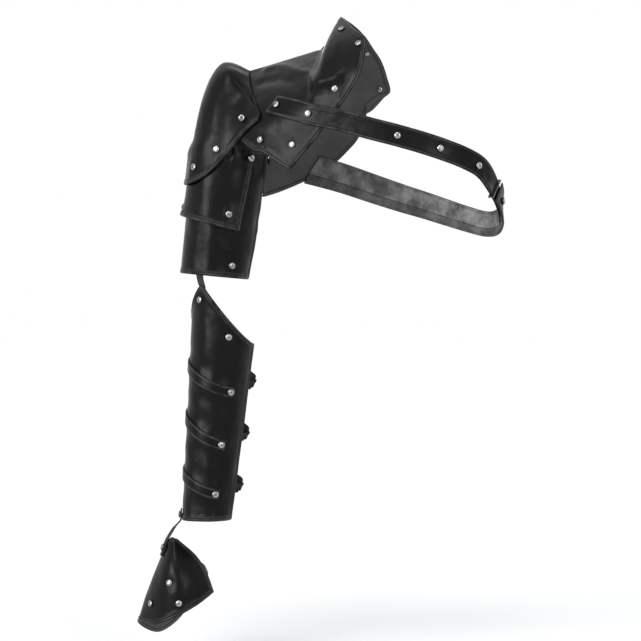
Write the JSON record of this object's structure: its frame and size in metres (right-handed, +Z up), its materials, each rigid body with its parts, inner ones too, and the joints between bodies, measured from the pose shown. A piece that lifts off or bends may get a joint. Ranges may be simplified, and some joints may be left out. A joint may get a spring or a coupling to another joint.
{
  "type": "steampunk arm armour",
  "caption": "Riveted leather armour for the right arm: shoulder yoke with chest strap, cap, upper arm lames, strapped bracer and hand guard.",
  "frame": {"origin": "the wearer's shoulder point under the seam of yoke and cap, in the middle plane between chest and back", "axes": "+Z up along the hanging arm, the wearer faces -Y, and the armoured right arm hangs on the -X side"},
  "size_m": [0.4481, 0.181, 0.7418],
  "materials": {
    "leather": "glossy black",
    "elastic": "ribbed",
    "nickel": "polished",
    "dark_metal": "satin"
  },
  "bodies": {
    "yoke_and_cap": {"strap_slide_loop": "dark_metal", "yoke_rivet_1": "nickel", "yoke_rivet_2": "nickel", "yoke_rivet_3": "nickel", "yoke_rivet_4": "nickel", "yoke_rivet_5": "nickel", "back_rivet_1": "nickel", "back_rivet_2": "nickel", "strap_rivet_1": "nickel", "strap_rivet_2": "nickel", "strap_stud_1": "nickel", "strap_stud_2": "nickel", "strap_stud_3": "nickel", "strap_end_stud": "nickel", "cap_rivet_1": "nickel", "cap_rivet_2": "nickel", "cap_pivot_front": "nickel", "cap_pivot_back": "nickel", "shoulder_cap": "leather", "yoke_front_panel": "leather", "yoke_back_panel": "leather", "chest_strap_front": "leather", "chest_strap_back": "leather"},
    "upper_lame": {"lame_pivot_front": "nickel", "lame_pivot_back": "nickel", "upper_lame_rivet_1": "nickel", "upper_lame_rivet_2": "nickel", "upper_arm_lame": "leather"},
    "lower_lame": {"lower_lame_rivet_1": "nickel", "lower_lame_rivet_2": "nickel", "lower_arm_lame": "leather", "arm_elastic_band": "elastic"},
    "elbow_band": {"bracer_top_rivet": "nickel", "elbow_link_band": "elastic"},
    "bracer": {"bracer_buckle_1": "dark_metal", "bracer_buckle_2": "dark_metal", "bracer_buckle_3": "dark_metal", "bracer_edge_rivet": "nickel", "bracer_strap_rivet_1": "nickel", "bracer_strap_rivet_2": "nickel", "bracer_strap_rivet_3": "nickel", "bracer_wrist_rivet": "nickel", "bracer_strap_1": "leather", "bracer_buckle_tab_1": "leather", "bracer_strap_2": "leather", "bracer_buckle_tab_2": "leather", "bracer_strap_3": "leather", "bracer_buckle_tab_3": "leather", "bracer_shell": "leather"},
    "prong_1": {"bracer_prong_1": "dark_metal"},
    "prong_2": {"bracer_prong_2": "dark_metal"},
    "prong_3": {"bracer_prong_3": "dark_metal"},
    "wrist_band": {"hand_top_rivet": "nickel", "wrist_link_band": "elastic"},
    "hand": {"hand_rivet_1": "nickel", "hand_rivet_2": "nickel", "hand_rivet_3": "nickel", "hand_guard": "leather", "palm_band": "elastic"}
  },
  "joints": [
    {"name": "upper_lame_tilt", "type": "hinge", "parent": "yoke_and_cap", "child": "upper_lame", "pos_m": [-0.0075, -0.014, -0.047], "axis": [0, 1, 0], "range_deg": [-6, 0]},
    {"name": "lower_lame_tilt", "type": "hinge", "parent": "upper_lame", "child": "lower_lame", "pos_m": [-0.00339, -0.014, -0.092], "axis": [0, 1, 0], "range_deg": [-2, 0.6]},
    {"name": "elbow_band_flex", "type": "hinge", "parent": "lower_lame", "child": "elbow_band", "pos_m": [-0.0634, -0.05083, -0.23011], "axis": [-0.9273, 0.3744, 0], "range_deg": [0, 35]},
    {"name": "bracer_swivel", "type": "hinge", "parent": "elbow_band", "child": "bracer", "pos_m": [-0.06189, -0.04969, -0.2593], "axis": [-0.5446, -0.8386, 0.0108], "range_deg": [0, 25]},
    {"name": "wrist_band_swivel", "type": "hinge", "parent": "bracer", "child": "wrist_band", "pos_m": [-0.09221, -0.02553, -0.51602], "axis": [-0.9472, -0.3169, 0.0481], "range_deg": [-20, 20]},
    {"name": "hand_guard_swivel", "type": "hinge", "parent": "wrist_band", "child": "hand", "pos_m": [-0.11484, -0.02328, -0.55715], "axis": [-0.8078, -0.4684, 0.3578], "range_deg": [-25, 25]},
    {"name": "prong_1_flip", "type": "hinge", "parent": "bracer", "child": "prong_1", "pos_m": [-0.01231, 0.00301, -0.35867], "axis": [-0.4575, 0.153, -0.876], "range_deg": [0, 60]},
    {"name": "prong_2_flip", "type": "hinge", "parent": "bracer", "child": "prong_2", "pos_m": [-0.02069, 0.00247, -0.42119], "axis": [-0.4936, 0.1736, -0.8522], "range_deg": [0, 60]},
    {"name": "prong_3_flip", "type": "hinge", "parent": "bracer", "child": "prong_3", "pos_m": [-0.02787, 0.00134, -0.48302], "axis": [-0.4268, 0.1357, -0.8941], "range_deg": [0, 60]}
  ]
}
